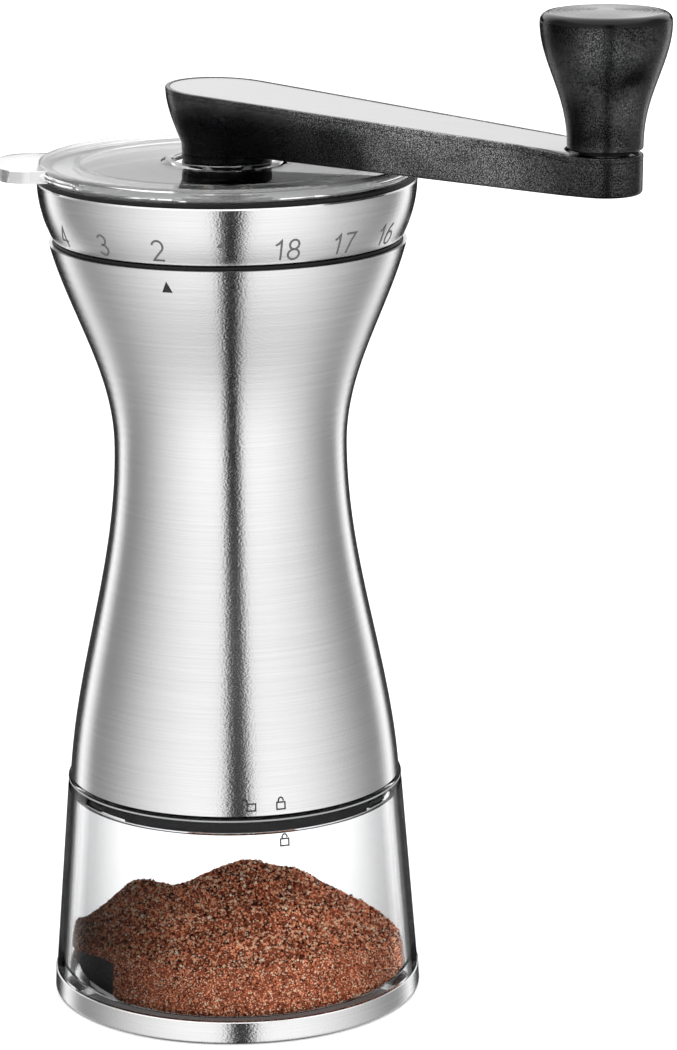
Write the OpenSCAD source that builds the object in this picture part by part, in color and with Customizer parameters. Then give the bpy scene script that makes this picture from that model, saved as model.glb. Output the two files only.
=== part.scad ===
// Hand crank coffee grinder: clear catch container, hourglass steel mill with a conical
// ceramic burr set, numbered grind ring, clear lid and a lift-off crank with a turning knob.
// Millimetres. Origin: centre of the base underside. +Z up along the mill axis. Front is -Y.

/* [Container] */
// Outer radius of the steel base ring
base_r = 40.4; // [39.8:0.1:41]
// Height of the steel base ring
base_h = 5; // [4:0.5:6]
// Outer radius of the container just above the base ring
jar_foot_r = 40; // [39.5:0.1:40.2]
// Outer radius of the container at its mouth
jar_mouth_r = 36.5; // [36.3:0.1:37]
// Height of the container mouth above the table
jar_top = 49.5; // [48:0.1:49.5]
// Thickness of the clear container floor
jar_floor = 3.5; // [2.5:0.5:4]
// Height of the heap of ground coffee
heap_top = 27.5; // [20:0.5:28]

/* [Mill body] */
// Lower edge of the steel shell
shell_bottom = 49.8; // [49.8:0.1:50.5]
// Upper edge of the steel shell
shell_top = 167.5; // [167:0.1:167.5]
// Height of the waist
waist_z = 123; // [121:0.5:125]
// Outer radius of the waist
waist_r = 25.1; // [25:0.1:26.5]
// Sheet thickness of the steel shell
sheet = 0.8; // [0.6:0.1:0.8]
// Distance from the waist down to where the shell would be widest
lower_reach = 82.3; // [80:0.1:84]
// Distance from the waist up to where the shell would be widest
upper_reach = 56.9; // [56:0.1:58]

/* [Burrs] */
// Outer radius of the ring burr
ring_burr_r = 21; // [20:0.1:21]
// Lowest point of the burr set
burr_bottom = 66; // [65:0.5:67]
// Highest point of the ring burr
burr_top = 84; // [82:0.5:84]
// Number of fine teeth on each burr
fine_teeth = 24; // [12:1:30]
// Number of coarse feed grooves on the cone burr
feed_grooves = 6; // [4:1:8]

/* [Grind ring] */
// Outer radius at the top of the numbered ring
dial_r = 40.5; // [40:0.1:41]
// Upper face of the numbered ring
dial_top = 180.85; // [180.5:0.05:181.2]
// How far the ring's outside draws in towards its lower edge
dial_draw_in = 3.2; // [2.5:0.1:3.4]
// Number of click positions
dial_steps = 18; // [12:1:24]

/* [Lid] */
// Outer radius of the clear lid
lid_r = 40.6; // [40:0.1:41]
// Thickness of the lid's rim
lid_rim_t = 2.8; // [2.4:0.05:2.8]
// Radius of the hole for the crank
lid_hole_r = 11.5; // [11:0.1:12.5]
// How far the pull tab reaches from the mill axis
tab_reach = 48.3; // [46:0.1:50]

/* [Crank] */
// Direction in which the crank points, from +X
crank_azimuth = -35; // [-180:1:180]
// Distance from the mill axis to the knob axis
crank_len = 92.5; // [80:0.5:100]
// Half width of the arm over the mill axis
hub_r = 12.9; // [12:0.1:13.5]
// Half width of the arm under the knob
boss_r = 7.7; // [7.6:0.1:8.5]
// Height of the arm's top face over the mill axis
arm_top = 200; // [199:0.5:202]
// Drop of the top face from the mill axis to the arm's far end
arm_drop = 6.3; // [5.5:0.1:6.3]
// Radius of the round neck below the hub
neck_r = 9.6; // [9:0.1:10.2]

/* [Knob] */
// Height of the knob's underside
knob_bottom = 194.5; // [194.5:0.1:195]
// Height at which the knob is widest
knob_wide_z = 220; // [219:0.1:222]
// Largest radius of the knob
knob_r = 13.3; // [12.5:0.1:14.5]
// Radius of the knob at its underside
knob_foot_r = 7.7; // [7:0.1:8]

/* [Hidden] */

$fn = 96;
fit = 0.05;              // radial clearance of a part held in a bore
run_fit = 0.08;          // radial clearance of a turning shaft
slip = 0.15;             // gap between nested shells of the same body
gap = 0.3;               // gap between bodies that move past each other
cut = 0.02;              // how far a cutting tool passes a face

steel_tone = "silver";
dark_tone = [0.1, 0.1, 0.11];
grey_tone = [0.72, 0.73, 0.74];
clear_tone = [0.85, 0.93, 0.95, 0.35];

// Container
jar_wall = 2.9;
jar_floor_z = base_h - 4.1 + jar_floor;
jar_under = 0.95;
jar_seat_r = base_r - 1.15;
jar_corner = 2;
rebate_z = 45.4;
rebate_r = 35.3;
jar_lug_r = 34.35;
jar_lug_low = 46.2;
jar_lug_h = 1.2;

// Bayonet collar, burr carrier and their screws
skirt_r = 35;
skirt_in = 32.3;
skirt_neck_r = 34.5;
skirt_bottom = 45.8;
collar_flange_z = 50.3;
collar_flange_t = 2.1;
lug_deg = 10;
lug_count = 3;
lug_first = 90;
twist = 11;
twist_slack = 1.5;
seal_z = 48.1;
seal_h = 1.2;
seal_in = 33.7;
seal_out = 35.2;
carrier_flange_t = 2.4;
carrier_flange_z = collar_flange_z + collar_flange_t + 0.1;
carrier_wall = 1.95;
ledge_t = 2;
screw_count = 3;
screw_ring_r = 28.2;
screw_r = 1.45;
screw_head_r = 2.7;
screw_head_h = 1.6;
boss_post_r = 3.4;
boss_post_top = 68;
screw_first = 30;
hub_bore_r = 5;
carrier_hub_top = 59.3;
liner_wall = 1.4;
liner_bottom = carrier_flange_z + carrier_flange_t + 0.1;
liner_top = 156.8;
funnel_top = 113;
funnel_throat_r = 20.2;

// Shell curve: half of a cosine wave below the waist and another above it
lower_swell = 5.64;
upper_swell = 7.41;

// Top collar, grind ring and bridge
groove_r = 37.1;
groove_top = 168.2;
neck_in = 34.1;
neck_out = 35;
neck_top = 178;
key_bottom = 157;
key_top = 166;
key_r = 32.4;
key_slot_w = 6.4;
key_slot_r = 34;
dial_bottom = 168.45;
sleeve_in = 32;
sleeve_out = 33.8;
core_inner_r = 35.95;
notch_r = 0.6;
bridge_rim_r = 31.8;
bridge_rim_w = 2.2;
bridge_low = 159.5;
bridge_arm_h = 5;
bridge_rim_top = 171;
bridge_arm_w = 5;
bridge_hub_r = 8;
bridge_hub_top = 172;
bridge_first = 60;
arm_count = 3;

// Shaft line
shaft_r = 3;
shaft_low = 53.5;
hex_low = 176;
hex_top = 186.5;
hex_af = 6;
socket_af = 6.2;
collar_low = 150;

// Lid, with its seat on the gasket
gasket_low = dial_top + 0.05;
gasket_top = dial_top + 1;
gasket_r = dial_r - 0.35;
lid_low = gasket_top + 0.2;
lid_top = lid_low + lid_rim_t;
lid_plate_t = 1.8;
lid_skirt_r = 32.6;
tab_half_w = 12.5;
tab_corner = 6.5;
tab_azimuth = 182;

// Crank arm
far_end = crank_len + boss_r;
arm_tilt = atan(arm_drop / far_end);
hub_under = 187.8;
hub_low_r = 9.8;
boss_under = 185.5;
boss_low_r = 6.7;
boss_top = knob_bottom - 0.8;
plate_t = 0.5;
plate_sunk = 0.15;
plate_inset = 1;
plate_end_r = knob_foot_r + 0.3;
boss_pocket_r = boss_r + 0.2;
neck_low = 178.3;
insert_r = 6.5;
insert_top = 191.9;

// Knob
knob_rim_z = knob_wide_z + 0.2;
knob_rim_round = 1.9;
knob_top = knob_wide_z + 2.2;
cap_r = 11.55;
cap_dome = 0.4;
cap_low = knob_wide_z + 0.85;
axle_r = 3;
axle_head_z = 213.2;
knob_curve_power = 1.17;

function steps(a, b, n) = [for (i = [0:n]) a + (b - a) * i / n];
function body_r(z) = z < waist_z
    ? waist_r + lower_swell * (1 - cos(180 * (waist_z - z) / lower_reach))
    : waist_r + upper_swell * (1 - cos(180 * (z - waist_z) / upper_reach));
function body_curve(z0, z1, inset, n) = [for (z = steps(z0, z1, n)) [body_r(z) - inset, z]];
function jar_inner(z) = jar_mouth_r - jar_wall + (jar_foot_r - jar_mouth_r)
    * (jar_top - z) / (jar_top - jar_floor_z - jar_corner);
function dial_outer(z) = dial_r
    - dial_draw_in * pow((dial_top - z) / (dial_top - dial_bottom), 2);
function dial_curve(z0, z1, inset, n) = [for (z = steps(z0, z1, n)) [dial_outer(z) - inset, z]];
function knob_outer(t) = knob_foot_r
    + (knob_r - knob_foot_r) * (1 - cos(180 * pow(t, knob_curve_power))) / 2;
function arc(cx, cz, r, a0, a1, n) = [for (a = steps(a0, a1, n)) [cx + r * cos(a), cz + r * sin(a)]];

module revolve(points) rotate_extrude() polygon(points);
module ring(r_in, r_out, z0, z1)
    revolve([[r_in, z0], [r_out, z0], [r_out, z1], [r_in, z1]]);
module rod(r, z0, z1) translate([0, 0, z0]) cylinder(r = r, h = z1 - z0);
module hex_rod(af, z0, z1)
    translate([0, 0, z0]) cylinder(d = af / cos(30), h = z1 - z0, $fn = 6);
module around(count, first) for (i = [0:count - 1]) rotate(first + 360 * i / count) children();
module sector(r_in, r_out, z0, z1, deg)
    rotate(-deg / 2) rotate_extrude(angle = deg)
        translate([r_in, z0]) square([r_out - r_in, z1 - z0]);

// ---------- container ----------
module base_ring() color(steel_tone) revolve(concat(
    [[33, 0], [base_r - 0.9, 0]],
    arc(base_r - 0.9, 0.9, 0.9, -90, 0, 6),
    [[base_r - 0.15, base_h - 0.15], [base_r - 0.35, base_h], [jar_seat_r + fit, base_h],
        [jar_seat_r + fit, 0.9], [33, 0.9]]));

module container() color(clear_tone) {
    revolve(concat(
        [[0, jar_under], [jar_seat_r, jar_under], [jar_seat_r, base_h + fit],
            [jar_foot_r, base_h + fit]],
        arc(jar_mouth_r - 0.5, jar_top - 0.5, 0.5, 0, 90, 4),
        [[rebate_r + 0.2, jar_top], [rebate_r, jar_top - 0.2], [rebate_r, rebate_z],
            [jar_inner(rebate_z), rebate_z]],
        arc(jar_foot_r - jar_wall - jar_corner, jar_floor_z + jar_corner, jar_corner, 0, -90, 6),
        [[0, jar_floor_z]]));
    around(lug_count, lug_first)
        sector(jar_lug_r, rebate_r + 0.4, jar_lug_low, jar_lug_low + jar_lug_h, lug_deg);
}

module ground_coffee() color([0.3, 0.13, 0.07]) revolve(concat(
    [[0, jar_floor_z + fit], [jar_foot_r - jar_wall - jar_corner - 0.3, jar_floor_z + fit],
        [jar_foot_r - jar_wall - 0.35, jar_floor_z + jar_corner],
        [jar_foot_r - jar_wall - 1, 14]],
    [for (a = steps(0, 90, 8)) [(jar_foot_r - jar_wall - 1.2) * cos(a), 14 + (heap_top - 14) * sin(a)]]));

module container_seal() color(dark_tone)
    ring(seal_in + 0.1, seal_out, seal_z + 0.1, seal_z + seal_h - 0.1);

// ---------- mill body ----------
module housing_shell() color(steel_tone) revolve(concat(
    body_curve(shell_bottom, shell_top, 0, 60),
    body_curve(shell_top, shell_bottom + 1.2, sheet, 60),
    [[body_r(shell_bottom) - sheet - 0.5, shell_bottom + 0.6],
        [body_r(shell_bottom) - sheet - 0.5, shell_bottom]]));

module hopper_liner() color(grey_tone) difference() {
    union() {
        revolve(concat(
            body_curve(liner_bottom, liner_top, sheet + slip, 44),
            body_curve(liner_top, liner_bottom, sheet + slip + liner_wall, 44)));
        around(screw_count, screw_first) translate([screw_ring_r, 0, 0])
            rod(boss_post_r, liner_bottom, boss_post_top);
    }
    around(screw_count, screw_first) translate([screw_ring_r, 0, 0])
        rod(screw_r + fit, liner_bottom - cut, boss_post_top - 2);
    difference() {
        ring(body_r(liner_bottom) - sheet - slip, body_r(liner_bottom) + 4,
            liner_bottom - cut, boss_post_top + 1);
        revolve(body_curve(liner_bottom, boss_post_top, sheet + slip, 8));
    }
}

module hopper_funnel() color(grey_tone) {
    tube = ring_burr_r + carrier_wall;
    revolve([[tube + 0.15, 80], [tube + 1.6, 80], [tube + 1.6, 96],
        [body_r(104) - sheet - slip - liner_wall - 0.15, 104],
        [body_r(funnel_top) - sheet - slip - liner_wall - 0.15, funnel_top],
        [body_r(funnel_top) - sheet - slip - liner_wall - 0.6, funnel_top],
        [funnel_throat_r, 98], [funnel_throat_r, burr_top + 0.5],
        [tube + 0.15, burr_top + 0.5]]);
}

module bayonet_collar() color(dark_tone) difference() {
    union() {
        ring(skirt_in, skirt_r, skirt_bottom, shell_bottom - gap);
        ring(skirt_in, skirt_neck_r, shell_bottom - 1, collar_flange_z + 1);
        ring(24.2, body_r(52) - sheet - slip, collar_flange_z + 0.4,
            collar_flange_z + collar_flange_t);
        ring(24.2, skirt_neck_r, collar_flange_z, collar_flange_z + collar_flange_t);
    }
    ring(seal_in, skirt_r + 1, seal_z, seal_z + seal_h);
    around(lug_count, lug_first + twist / 2)
        sector(jar_lug_r - gap, skirt_r + 1, skirt_bottom - 1, jar_lug_low + jar_lug_h + gap,
            lug_deg + twist + 2 * twist_slack);
    around(screw_count, screw_first) translate([screw_ring_r, 0, 0])
        rod(screw_r + fit, collar_flange_z - 1, collar_flange_z + 4);
}

module burr_carrier() color(dark_tone) difference() {
    union() {
        ring(ring_burr_r + fit, ring_burr_r + carrier_wall, carrier_flange_z, burr_top);
        ring(ring_burr_r - 2.5, ring_burr_r + 1, burr_bottom - ledge_t, burr_bottom - fit);
        ring(ring_burr_r + fit, 33.2, carrier_flange_z, carrier_flange_z + carrier_flange_t);
        rod(hub_bore_r + 2.4, carrier_flange_z + 2, carrier_hub_top);
        around(arm_count, 0) translate([hub_bore_r + 1, -2, carrier_flange_z + 2])
            cube([ring_burr_r - hub_bore_r - 0.5, 4, carrier_hub_top - carrier_flange_z - 2.5]);
    }
    rod(hub_bore_r + 0.02, carrier_flange_z, carrier_hub_top + 1);
    around(screw_count, screw_first) translate([screw_ring_r, 0, 0])
        rod(screw_r + fit, carrier_flange_z - 1, carrier_flange_z + 4);
}

module fine_tooth_cuts(r, z0, z1, depth)
    around(fine_teeth, 0) translate([r - depth, 0, z0]) rotate(45) cube([2, 2, z1 - z0]);

module ring_burr() color([0.93, 0.92, 0.88]) difference() {
    revolve([[16.6, burr_bottom], [ring_burr_r, burr_bottom], [ring_burr_r, burr_top],
        [20, burr_top], [17.2, burr_bottom + 8]]);
    around(fine_teeth, 0) translate([16.3, 0, burr_bottom - cut]) rotate([0, 8, 45])
        cube([0.9, 0.9, burr_top - burr_bottom + 1], center = false);
}

module lower_bush() color("goldenrod")
    ring(shaft_r + run_fit, hub_bore_r, carrier_flange_z + 1.8, carrier_hub_top + 0.3);

module carrier_screws() color(steel_tone) around(screw_count, screw_first)
    translate([screw_ring_r, 0, 0]) difference() {
        union() {
            rod(screw_r, collar_flange_z - 0.3, boss_post_top - 4);
            rod(screw_head_r, collar_flange_z - screw_head_h, collar_flange_z - 0.02);
        }
        translate([-screw_head_r, -0.35, collar_flange_z - screw_head_h - cut])
            cube([2 * screw_head_r, 0.7, 0.7]);
        translate([-0.35, -screw_head_r, collar_flange_z - screw_head_h - cut])
            cube([0.7, 2 * screw_head_r, 0.7]);
    }

module top_collar() color(dark_tone) difference() {
    revolve(concat(
        [[key_r, key_bottom]],
        body_curve(key_bottom, shell_top - 0.1, sheet + slip, 8),
        [[groove_r - 0.6, shell_top + 0.05], [groove_r, shell_top + 0.05], [groove_r, groove_top],
            [neck_out, groove_top], [neck_out, neck_top], [neck_in, neck_top],
            [neck_in, key_top], [key_r, key_top]]));
    around(arm_count, bridge_first)
        translate([key_r - 1, -key_slot_w / 2, key_bottom - 1])
            cube([key_slot_r - key_r + 1, key_slot_w, key_top - key_bottom + 0.5]);
}

module click_spring() color(steel_tone) rotate(100) {
    sector(neck_out + 0.05, neck_out + 0.35, 171, 175, 70);
    translate([neck_out + 0.5, 0, 0]) rod(0.4, 171.5, 174.5);
}

// ---------- grind ring ----------
module dial_ring() color(steel_tone) revolve(concat(
    dial_curve(dial_bottom + 0.25, dial_top - 0.3, 0, 14),
    [[dial_r - 0.3, dial_top], [dial_r - 1.6, dial_top], [dial_r - 1.6, dial_top - 0.5]],
    dial_curve(dial_top - 0.5, dial_bottom + 0.7, sheet, 14),
    [[dial_outer(dial_bottom) - 1.2, dial_bottom + 0.5], [dial_outer(dial_bottom) - 1.2, dial_bottom],
        [dial_outer(dial_bottom) - 0.25, dial_bottom]]));

module dial_core() color(grey_tone) difference() {
    revolve(concat(
        [[core_inner_r, dial_bottom + 0.8]],
        dial_curve(dial_bottom + 0.8, dial_top - 0.6, sheet + 0.05, 10),
        [[dial_r - 1.7, dial_top - 0.6], [dial_r - 1.7, dial_top - 0.05],
            [lid_skirt_r + 0.4, dial_top - 0.05], [lid_skirt_r + 0.4, 179],
            [sleeve_in, 178.6], [sleeve_in, 166.6], [sleeve_out, 166.6],
            [sleeve_out, neck_top + 0.4], [core_inner_r, neck_top + 0.4]]));
    around(dial_steps, 100) translate([core_inner_r, 0, 0])
        rod(notch_r - 0.2, dial_bottom, neck_top);
}

module lid_gasket() color(dark_tone) revolve([[37.4, gasket_low],
    [gasket_r - 0.2, gasket_low], [gasket_r, gasket_low + 0.3], [gasket_r, gasket_top - 0.2],
    [gasket_r - 0.2, gasket_top], [37.4, gasket_top]]);

// ---------- bridge that the grind ring raises and lowers ----------
module bearing_bridge() color(grey_tone) difference() {
    union() {
        rod(bridge_hub_r, bridge_low, bridge_hub_top);
        ring(bridge_rim_r - bridge_rim_w, bridge_rim_r, bridge_low, bridge_rim_top);
        around(arm_count, bridge_first) translate([0, -bridge_arm_w / 2, bridge_low])
            cube([key_slot_r - gap, bridge_arm_w, bridge_arm_h]);
    }
    rod(hub_bore_r + 0.02, bridge_low - 1, bridge_hub_top + 1);
}

module upper_bush() color("goldenrod") {
    ring(shaft_r + run_fit, hub_bore_r, bridge_low + 0.5, bridge_hub_top);
    ring(shaft_r + run_fit, hub_bore_r + 1.2, bridge_hub_top, bridge_hub_top + 1);
}

// ---------- rotor ----------
module drive_shaft() color(steel_tone) {
    rod(shaft_r, shaft_low, hex_low);
    hex_rod(hex_af, hex_low, hex_top);
}

module cone_burr() color([0.93, 0.92, 0.88]) difference() {
    revolve([[shaft_r + 0.03, burr_bottom + 0.2], [16.2, burr_bottom + 0.2],
        [15.4, burr_bottom + 3.4], [12.4, burr_bottom + 12], [8.5, burr_top + 2],
        [shaft_r + 0.03, burr_top + 2]]);
    around(fine_teeth, 0) translate([15.9, 0, burr_bottom]) rotate([0, -12, 45])
        cube([0.9, 0.9, 6]);
    around(feed_grooves, 0) translate([9.2, 0, burr_bottom + 6]) rotate([24, -22, 20])
        cube([6, 2.4, 18]);
}

module burr_washer() color(steel_tone) ring(shaft_r + 0.03, 6, burr_bottom - 1.2, burr_bottom + 0.18);

module burr_nut() color(steel_tone) difference() {
    hex_rod(10, burr_bottom - 4.2, burr_bottom - 1.25);
    rod(shaft_r + 0.02, burr_bottom - 5, burr_bottom);
}

module shaft_collar() color(steel_tone) ring(shaft_r + 0.03, 5.6, collar_low, collar_low + 2);

module shaft_spring() color("gray") coil(4.6, 0.45, collar_low + 2.5, bridge_low - 0.1, 5);

module shaft_clip() color("gray") difference() {
    ring(shaft_r + 0.03, 5, bridge_hub_top + 1.3, bridge_hub_top + 2.3);
    translate([0, -1, bridge_hub_top + 1]) cube([6, 2, 2]);
}

module coil(r, wire, z0, z1, turns) {
    sides = 6;
    per_turn = 20;
    count = turns * per_turn;
    points = [for (i = [0:count]) for (k = [0:sides - 1])
        let (a = 360 * i / per_turn, b = 360 * k / sides, q = r + wire * cos(b))
            [q * cos(a), q * sin(a), z0 + (z1 - z0) * i / count + wire * sin(b)]];
    walls = [for (i = [0:count - 1]) for (k = [0:sides - 1])
        let (m = (k + 1) % sides)
            [i * sides + k, (i + 1) * sides + k, (i + 1) * sides + m, i * sides + m]];
    polyhedron(points, concat(walls,
        [[for (k = [0:sides - 1]) k]],
        [[for (k = [sides - 1:-1:0]) count * sides + k]]));
}

// ---------- crank ----------
module on_arm() rotate(crank_azimuth) children();
module on_slope() translate([0, 0, arm_top]) rotate([0, arm_tilt, 0]) children();
module at_knob() rotate(crank_azimuth) translate([crank_len, 0, 0]) children();

module tapered_outline(r0, r1, d) {
    a = acos((r0 - r1) / d);
    circle(r0);
    translate([d, 0]) circle(r1);
    polygon([[r0 * cos(a), r0 * sin(a)], [r0 * cos(a), -r0 * sin(a)],
        [d + r1 * cos(a), -r1 * sin(a)], [d + r1 * cos(a), r1 * sin(a)]]);
}

module plate_outline(play) difference() {
    tapered_outline(hub_r - plate_inset - play, boss_r - plate_inset - play, crank_len);
    translate([crank_len, 0]) circle(plate_end_r + play);
    translate([crank_len, -20]) square(40);
}

module crank_arm() color(dark_tone) on_arm() difference() {
    union() {
        hull() {
            on_slope() translate([0, 0, -1]) cylinder(r = hub_r, h = 1, $fn = 64);
            on_slope() translate([crank_len, 0, -1]) cylinder(r = boss_r, h = 1, $fn = 48);
            translate([0, 0, hub_under]) cylinder(r = hub_low_r, h = 1, $fn = 48);
            translate([crank_len, 0, boss_under])
                cylinder(r1 = boss_low_r, r2 = boss_r, h = 0.9, $fn = 48);
        }
        revolve([[0, neck_low], [neck_r, neck_low], [neck_r, 184.4], [neck_r - 0.4, 184.6],
            [neck_r - 0.4, 184.9], [neck_r, 185.1], [neck_r, 186.2], [neck_r - 0.4, 186.4],
            [neck_r - 0.4, 186.7], [neck_r, 186.9], [neck_r, 190], [0, 190]]);
    }
    on_slope() translate([0, 0, -plate_t - plate_sunk]) linear_extrude(3) plate_outline(0);
    translate([crank_len, 0, 0]) rod(boss_pocket_r, boss_top, arm_top);
    rod(insert_r, neck_low - 1, insert_top + 0.1);
    translate([crank_len, 0, 0]) rod(axle_r + 0.01, boss_under + 1, arm_top);
}

module arm_plate() color(steel_tone) on_arm() on_slope()
    translate([0, 0, 0.01 - plate_t - plate_sunk]) linear_extrude(plate_t) plate_outline(fit);

module hex_insert() color(steel_tone) on_arm() difference() {
    rod(insert_r - fit, neck_low + 0.1, insert_top);
    rotate(-crank_azimuth) hex_rod(socket_af, neck_low - 1, hex_top + 1);
}

module knob_axle() color(steel_tone) at_knob() {
    rod(axle_r, boss_under + 1.1, axle_head_z + 0.5);
    rod(axle_r + 1.3, axle_head_z, axle_head_z + 2);
}

module knob_washer() color(steel_tone) at_knob()
    ring(axle_r + 0.05, 5.4, boss_top + 0.02, knob_bottom - 0.2);

module knob() color(dark_tone) at_knob() revolve(concat(
    [[axle_r + run_fit, knob_bottom], [knob_foot_r - 0.4, knob_bottom]],
    [for (t = steps(0.015, 1, 24)) [knob_outer(t), knob_bottom + t * (knob_wide_z - knob_bottom)]],
    arc(knob_r - knob_rim_round, knob_rim_z, knob_rim_round, 0, 78, 8),
    [[cap_r, knob_top - 0.1], [cap_r, cap_low], [5, cap_low], [5, axle_head_z - 0.2],
        [axle_r + run_fit, axle_head_z - 0.2]]));

module knob_cap() color([0.5, 0.5, 0.52]) at_knob() revolve([[0, cap_low + 0.03],
    [cap_r - 0.05, cap_low + 0.03], [cap_r - 0.05, knob_top - 0.1], [cap_r - 0.2, knob_top],
    [cap_r / 2, knob_top + 0.7 * cap_dome], [1.9, knob_top + cap_dome],
    [1.5, knob_top + cap_dome - 0.3], [0, knob_top + cap_dome - 0.4]]);

// ---------- lid ----------
module lid() color(clear_tone) {
    plate_low = lid_top - 0.3 - lid_plate_t;
    difference() {
        union() {
            revolve(concat(
                [[lid_hole_r, plate_low], [31.4, plate_low + 0.2], [31.4, lid_low - 2.4],
                    [lid_skirt_r, lid_low - 2.4], [lid_skirt_r, lid_low]],
                arc(lid_r - 1.1, lid_low + 1.1, 1.1, -90, 0, 5),
                arc(lid_r - 1.1, lid_top - 1.1, 1.1, 0, 90, 5),
                [[lid_hole_r + 2.6, lid_top - 0.3], [lid_hole_r + 1.6, lid_top + 0.2],
                    [lid_hole_r + 0.3, lid_top + 0.2], [lid_hole_r, lid_top]]));
            rotate(tab_azimuth) translate([0, 0, lid_low + 0.05])
                linear_extrude(lid_rim_t - 0.15) tab_outline();
        }
        rod(lid_r - 2.5, lid_top + 0.25, lid_top + 3);
        rod(31, lid_low - 3, lid_low);
    }
}

module tab_outline() difference() {
    union() {
        translate([36, -tab_half_w]) square([tab_reach - 36 - tab_corner, 2 * tab_half_w]);
        translate([tab_reach - tab_corner - 1, tab_corner - tab_half_w])
            square([tab_corner + 1, 2 * (tab_half_w - tab_corner)]);
        for (side = [-1, 1]) translate([tab_reach - tab_corner, side * (tab_half_w - tab_corner)])
            circle(tab_corner);
    }
    circle(lid_r - 2);
}

base_ring();
container();
ground_coffee();
container_seal();
housing_shell();
hopper_liner();
hopper_funnel();
bayonet_collar();
burr_carrier();
ring_burr();
lower_bush();
carrier_screws();
top_collar();
click_spring();
dial_ring();
dial_core();
lid_gasket();
bearing_bridge();
upper_bush();
drive_shaft();
cone_burr();
burr_washer();
burr_nut();
shaft_collar();
shaft_spring();
shaft_clip();
crank_arm();
arm_plate();
hex_insert();
knob_axle();
knob_washer();
knob();
knob_cap();
lid();
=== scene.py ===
"""Hand crank coffee grinder: the looks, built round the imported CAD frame.

Metres, +Z up along the mill axis, front is -Y, the table is z = 0.
"""
import math
import random

import bmesh
import bpy
from mathutils import Matrix, Vector, noise
from mathutils.bvhtree import BVHTree


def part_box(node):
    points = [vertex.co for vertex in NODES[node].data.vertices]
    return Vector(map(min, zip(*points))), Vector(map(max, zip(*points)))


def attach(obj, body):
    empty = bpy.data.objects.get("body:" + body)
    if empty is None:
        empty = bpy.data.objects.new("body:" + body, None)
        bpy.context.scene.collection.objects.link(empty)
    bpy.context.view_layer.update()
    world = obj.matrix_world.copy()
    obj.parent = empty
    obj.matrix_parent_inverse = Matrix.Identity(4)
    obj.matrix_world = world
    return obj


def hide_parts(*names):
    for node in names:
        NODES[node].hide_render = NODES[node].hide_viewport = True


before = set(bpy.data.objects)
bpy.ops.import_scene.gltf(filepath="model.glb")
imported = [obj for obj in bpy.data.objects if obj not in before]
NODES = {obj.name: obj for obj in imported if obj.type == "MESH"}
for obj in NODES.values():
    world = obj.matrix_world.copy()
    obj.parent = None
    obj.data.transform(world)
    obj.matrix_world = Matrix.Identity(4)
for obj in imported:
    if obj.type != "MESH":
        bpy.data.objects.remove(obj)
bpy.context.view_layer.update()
MM = 0.001


# ---------------------------------------------------------------- camera
CAMERA_PLACE = Vector((0.0, -0.9045, 0.3310))
CAMERA_YAW = 1.467          # degrees to the right of +Y
CAMERA_PITCH = 14.07        # degrees downward
CAMERA_ROLL = -0.40
CAMERA_LENS = 147.3         # millimetres on a 36 mm high picture


def make_camera():
    yaw, pitch, roll = (math.radians(a) for a in (CAMERA_YAW, CAMERA_PITCH, CAMERA_ROLL))
    forward = Vector((math.sin(yaw) * math.cos(pitch), math.cos(yaw) * math.cos(pitch), -math.sin(pitch)))
    right = Vector((math.cos(yaw), -math.sin(yaw), 0))
    up = right.cross(forward)
    right, up = (math.cos(roll) * right + math.sin(roll) * up,
                 math.cos(roll) * up - math.sin(roll) * right)
    data = bpy.data.cameras.new("camera")
    data.lens = CAMERA_LENS
    data.sensor_fit = "VERTICAL"
    data.sensor_height = 36
    data.clip_end = 50
    camera = bpy.data.objects.new("camera", data)
    turn = Matrix((right, up, -forward)).transposed().to_4x4()
    camera.matrix_world = Matrix.Translation(CAMERA_PLACE) @ turn
    bpy.context.scene.collection.objects.link(camera)
    bpy.context.scene.camera = camera


# ---------------------------------------------------------------- shader helpers
def feed(nt, socket, value):
    """Sets a socket to a number or a colour, or links another node's socket to it."""
    if isinstance(value, bpy.types.NodeSocket):
        nt.links.new(value, socket)
    else:
        socket.default_value = (*value, 1) if isinstance(value, tuple) else value


def dress(nt, bsdf, values):
    """Feeds the named sockets of a shader."""
    for name, value in values.items():
        feed(nt, bsdf.inputs[name], value)


def maths(nt, operation, *values):
    n = nt.nodes.new("ShaderNodeMath")
    n.operation = operation
    for socket, value in zip(n.inputs, values):
        feed(nt, socket, value)
    return n.outputs[0]


def remapped(nt, value, low, high, to_low, to_high):
    """Moves a value from one range to another, and holds it inside."""
    n = nt.nodes.new("ShaderNodeMapRange")
    dress(nt, n, {"Value": value, "From Min": low, "From Max": high, "To Min": to_low, "To Max": to_high})
    return n.outputs[0]


def ranged(nt, value, low, high):
    """Spreads a value from 0 to 1 over a range."""
    return remapped(nt, value, 0.0, 1.0, low, high)


def stepped(nt, value, low, high):
    """Rises smoothly from 0 to 1 as a value goes from low to high."""
    n = nt.nodes.new("ShaderNodeMapRange")
    n.interpolation_type = "SMOOTHSTEP"
    dress(nt, n, {"Value": value, "From Min": low, "From Max": high})
    return n.outputs[0]


def mixed(nt, factor, a, b):
    """Mixes two numbers."""
    n = nt.nodes.new("ShaderNodeMix")
    dress(nt, n, {"Factor": factor, "A": a, "B": b})
    return n.outputs["Result"]


def blended(nt, factor, a, b, blend="MIX"):
    """Mixes two colours."""
    n = nt.nodes.new("ShaderNodeMix")
    n.data_type = "RGBA"
    n.blend_type = blend
    dress(nt, n, {"Factor": factor, "A": a, "B": b})
    return n.outputs["Result"]


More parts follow.
